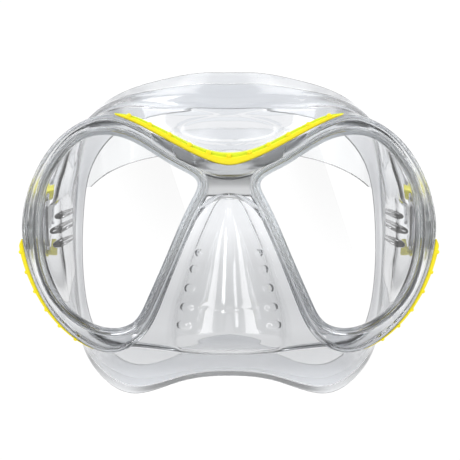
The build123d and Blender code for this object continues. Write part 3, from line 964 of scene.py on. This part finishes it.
def pocket_skins():
    """The pocket's front and back surfaces, as rows of points."""
    v = np.array([pocket_row(*level) for level in even(spline(NOSE, False), ROWS, False)])
    out = np.cross(np.gradient(v, axis=1), np.gradient(v, axis=0))
    out /= np.linalg.norm(out, axis=2)[..., None] + 1e-9
    if out[ROWS // 2, COLS // 2, 1] > 0:
        out = -out
    v = v + out * (grips(v) + pocket_crease(v))[..., None]
    # the foot follows the skirt's lower edge
    half_front = front_line[(front_line[:, 0] >= 0) & (front_line[:, 1] < -30)]
    half_front = half_front[np.argsort(half_front[:, 0])]
    lift = np.interp(abs(v[..., 0]), half_front[:, 0], half_front[:, 1]) - v[-1, 0, 2]
    v[..., 2] += lift * smooth(-38, -50, v[..., 2])
    # the wall thins out towards its edges
    from_end = np.minimum(np.arange(ROWS), ROWS - 1 - np.arange(ROWS))[:, None]
    from_side = np.minimum(np.arange(COLS), COLS - 1 - np.arange(COLS))[None]
    wall = lerp(POCKET_RIM_T, POCKET_T, smooth(0, 5, from_end) * smooth(0, 4, from_side))
    return v, v - out * wall[..., None]


def make_shield():
    """Both skins of the nose pocket, closed by a rim."""
    front, back = pocket_skins()
    count = ROWS * COLS
    faces = grid_faces(ROWS, COLS, False, False) + grid_faces(ROWS, COLS, False, False, count)
    skins = len(faces)
    top = list(range(COLS))
    right = [i * COLS + COLS - 1 for i in range(1, ROWS)]
    foot = [(ROWS - 1) * COLS + j for j in range(COLS - 2, -1, -1)]
    left = [i * COLS for i in range(ROWS - 2, 0, -1)]
    edge = top + right + foot + left
    faces += [(a, c, c + count, a + count) for a, c in zip(edge, edge[1:] + edge[:1])]
    v = np.concatenate([front.reshape(-1, 3), back.reshape(-1, 3)])
    shield = piece("shield", v, faces, M_SKIRT, None)
    shield.data.materials.append(M_SEAL)
    for poly in shield.data.polygons:
        if poly.index >= skins:
            poly.material_index = 1
    return shield


chamber = make_chamber()
neck_l = make_neck("neck_l")
neck_r = mirrored(neck_l, "neck_r")
shield = make_shield()
skirt_ob = joined("silicone_skirt", [chamber, neck_l, neck_r, shield])
stand_for(skirt_ob, "mask", ["skirt"])


# ---------------------------------------------------------------- small parts, from their CAD solids
def rounded(ob, width):
    """Rounds the sharp edges, by a width in millimetres."""
    mod = ob.modifiers.new("b", "BEVEL")
    mod.width = width / 1000
    mod.segments = 3
    return mod


def refined(node, name, body, mat, bevel, extra=()):
    """A copy of a CAD solid with clean flat faces, rounded edges and its own material."""
    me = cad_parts[node].data.copy()
    me.name = name
    ob = bpy.data.objects.new(name, me)
    bpy.context.scene.collection.objects.link(ob)
    me.materials.clear()
    me.materials.append(mat)
    bm = bmesh.new()
    bm.from_mesh(me)
    bmesh.ops.remove_doubles(bm, verts=bm.verts, dist=1e-6)
    bmesh.ops.dissolve_limit(bm, angle_limit=math.radians(1.0), verts=bm.verts, edges=bm.edges)
    bm.to_mesh(me)
    bm.free()
    for p in me.polygons:
        p.material_index = 0
        p.use_smooth = True
    mod = rounded(ob, bevel)
    mod.limit_method = "ANGLE"
    mod.angle_limit = math.radians(40)
    apply_modifiers(ob)
    if extra:
        ob = joined(name, [ob, *extra])
    ob.data.set_sharp_from_angle(angle=math.radians(35))
    stand_for(ob, body, [node])
    return ob


def tilted(x, u, w):
    """From the buckle's own level layout to the mask: u runs back from the pivot, w up."""
    y = PIVOT_Y + u * math.cos(TILT) - w * math.sin(TILT)
    z = PIVOT_Z + u * math.sin(TILT) + w * math.cos(TILT)
    return (x, y, z)


def thumb_pad(side, up):
    """The inner end of a squeeze button: it hooks over the buckle's cheek, beside the skirt."""
    outline = [(71.0, 9.4), (74.4, 9.4), (74.4, 12.95), (77.6, 12.95), (77.6, 14.4), (71.0, 14.4)]
    ends = (15.0, 22.5)
    v = [tilted(side * x, u, up * w) for u in ends for x, w in outline]
    ob = piece("pad", v, prism(len(outline)), M_BUTTON, 30)
    rounded(ob, 0.5)
    return apply_modifiers(ob)


for name, side in (("left", 1), ("right", -1)):
    refined("pivot_pin_" + name, "pin_" + name, "mask", M_STEEL, 0.15)
    refined("buckle_body_" + name, "buckle_" + name, "strap", M_ACETAL, 0.3)
    refined("roller_axle_" + name, "axle_" + name, "strap", M_STEEL, 0.1)
    refined("roller_" + name, "roll_" + name, "roller_" + name, M_ACETAL, 0.1)
    refined("pawl_" + name, "catch_" + name, "pawl_" + name, M_ACETAL, 0.15)
    for level, up in (("upper", 1), ("lower", -1)):
        node = "button_" + level + "_" + name
        refined(node, "squeeze_" + level + "_" + name, node, M_BUTTON, 0.35,
                [thumb_pad(side, up)])
    refined("strap_keeper_" + name, "keeper_" + name, "strap_keeper_" + name, M_STRAP, 0.3)


def make_strap():
    """The band, drawn in a little towards the back of the head, as a worn strap is."""
    strap = refined("strap", "strap_band", "strap", M_STRAP, 0.35)
    for vert in strap.data.vertices:
        vert.co.x *= 1 - 0.10 * float(smooth(0.040, 0.095, vert.co.y))


make_strap()


# ---------------------------------------------------------------- stage, lights, camera
# sizes here are in metres
FLOOR_Z = -0.16
PLAIN_WHITE = 1.04
CAM_LENS = 250
CAM_SENSOR = 36
CAM_DISTANCE = 1.278
CAM_SHIFT = 0.0021739


def floor_material():
    """Pale and matt, and clear towards its edge."""
    m, nt, b = new_mat("pale_floor")
    b.inputs["Base Color"].default_value = (0.88, 0.88, 0.88, 1)
    b.inputs["Roughness"].default_value = 0.9
    tc = nt.nodes.new("ShaderNodeTexCoord")
    ln = nt.nodes.new("ShaderNodeVectorMath")
    ln.operation = "LENGTH"
    nt.links.new(tc.outputs["Object"], ln.inputs[0])
    fade = step_node(nt, ln.outputs["Value"], 0.35, 0.8, 1.0, 0.0)
    mix = nt.nodes.new("ShaderNodeMixShader")
    clear_node = nt.nodes.new("ShaderNodeBsdfTransparent")
    nt.links.new(fade, mix.inputs[0])
    nt.links.new(clear_node.outputs[0], mix.inputs[1])
    nt.links.new(b.outputs[0], mix.inputs[2])
    nt.links.new(mix.outputs[0], nt.nodes["Material Output"].inputs["Surface"])
    return m


def make_floor():
    """A round sheet: a fan in the middle and rings round it."""
    n = 96
    radii = [0.3, 0.6, 0.9, 1.2, 1.6]
    turns = np.linspace(0, 2 * math.pi, n, endpoint=False)
    v = [(0, 0, FLOOR_Z)]
    v += [(r * math.cos(a), r * math.sin(a), FLOOR_Z) for r in radii for a in turns]
    faces = [(0, 1 + i, 1 + (i + 1) % n) for i in range(n)]
    faces += grid_faces(len(radii), n, False, True, 1)
    me = bpy.data.meshes.new("floor")
    me.from_pydata(v, [], faces)
    me.materials.append(floor_material())
    ob = bpy.data.objects.new("floor", me)
    bpy.context.scene.collection.objects.link(ob)


def area(name, loc, size, power):
    """A rectangular light that faces the middle of the mask."""
    data = bpy.data.lights.new(name, "AREA")
    data.shape = "RECTANGLE"
    data.size, data.size_y = size
    data.energy = power
    ob = bpy.data.objects.new(name, data)
    ob.location = loc
    ob.rotation_euler = (-Vector(loc)).to_track_quat("-Z", "Y").to_euler()
    bpy.context.scene.collection.objects.link(ob)
    return ob


def room_light(nt, up, side, front):
    """The light round the mask, as clear parts bend it: dark bands with a bright one between
    them, white beyond, and more from above."""
    level = math_node(nt, "MAXIMUM", side, front)
    ramp = nt.nodes.new("ShaderNodeValToRGB")
    nt.links.new(level, ramp.inputs[0])
    stops = [(0.0, 0.24), (0.60, 0.27), (0.68, 0.62), (0.73, 0.62), (0.79, 0.22), (0.87, 0.26),
             (0.95, 1.04)]
    set_stops(ramp, stops, 1.0, 1.0, 2.0)
    ramp.color_ramp.interpolation = "EASE"
    above = step_node(nt, up, 0.55, 0.85, 0.0, 0.45)
    return math_node(nt, "ADD", ramp.outputs[0], above)


def strip_lights(nt, up, side, front):
    """A bright band at both sides and two patches overhead, which only mirrored rays meet."""
    strips = step_node(nt, front, 0.16, 0.26, 6.0, 0.0)
    over_floor = step_node(nt, up, -0.5, -0.2, 0.0, 1.0)
    under_top = step_node(nt, up, 0.60, 0.85, 1.0, 0.08)
    strips = math_node(nt, "MULTIPLY", math_node(nt, "MULTIPLY", strips, over_floor), under_top)
    overhead = step_node(nt, up, 0.78, 0.90, 0.0, 4.5)
    from_middle = step_node(nt, side, 0.10, 0.20, 0.0, 1.0)
    to_side = step_node(nt, side, 0.36, 0.50, 1.0, 0.0)
    beside = math_node(nt, "MULTIPLY", from_middle, to_side)
    return math_node(nt, "ADD", strips, math_node(nt, "MULTIPLY", overhead, beside))


def make_world():
    world = bpy.data.worlds.new("world")
    world.use_nodes = True
    nt = world.node_tree
    tc = nt.nodes.new("ShaderNodeTexCoord")
    sep = nt.nodes.new("ShaderNodeSeparateXYZ")
    nt.links.new(tc.outputs["Generated"], sep.inputs[0])
    up = sep.outputs["Z"]
    front = math_node(nt, "ABSOLUTE", sep.outputs["Y"])
    side = math_node(nt, "ABSOLUTE", sep.outputs["X"])
    path = nt.nodes.new("ShaderNodeLightPath")
    seen = nt.nodes.new("ShaderNodeMix")
    seen.data_type = "FLOAT"
    nt.links.new(path.outputs["Is Camera Ray"], seen.inputs["Factor"])
    nt.links.new(room_light(nt, up, side, front), seen.inputs["A"])
    seen.inputs["B"].default_value = PLAIN_WHITE
    mirrored_only = math_node(nt, "SUBTRACT", 1.0, path.outputs["Is Transmission Ray"])
    glossy = math_node(nt, "MULTIPLY", path.outputs["Is Glossy Ray"], mirrored_only)
    shine = math_node(nt, "MULTIPLY", strip_lights(nt, up, side, front), glossy)
    final = math_node(nt, "ADD", seen.outputs["Result"], shine)
    comb = nt.nodes.new("ShaderNodeCombineColor")
    for channel in range(3):
        nt.links.new(final, comb.inputs[channel])
    nt.links.new(comb.outputs[0], nt.nodes["Background"].inputs["Color"])
    bpy.context.scene.world = world


def make_camera():
    """A long lens, level with the mask and straight in front of it."""
    cam_data = bpy.data.cameras.new("camera")
    cam_data.lens = CAM_LENS
    cam_data.sensor_width = CAM_SENSOR
    cam_data.shift_x = CAM_SHIFT
    cam = bpy.data.objects.new("camera", cam_data)
    cam.location = (0, -SEAL_Y / 1000 - CAM_DISTANCE, 0.0)
    cam.rotation_euler = (math.radians(90), 0, 0)
    bpy.context.scene.collection.objects.link(cam)
    bpy.context.scene.camera = cam


make_floor()
area("key", (-0.8, -1.0, 0.9), (0.5, 0.5), 9)
area("fill", (0.9, -0.9, 0.5), (0.35, 0.7), 5)
area("top", (0, 0.2, 1.3), (0.9, 0.6), 9).visible_glossy = False
make_world()
make_camera()
bpy.context.scene.view_settings.view_transform = "Standard"
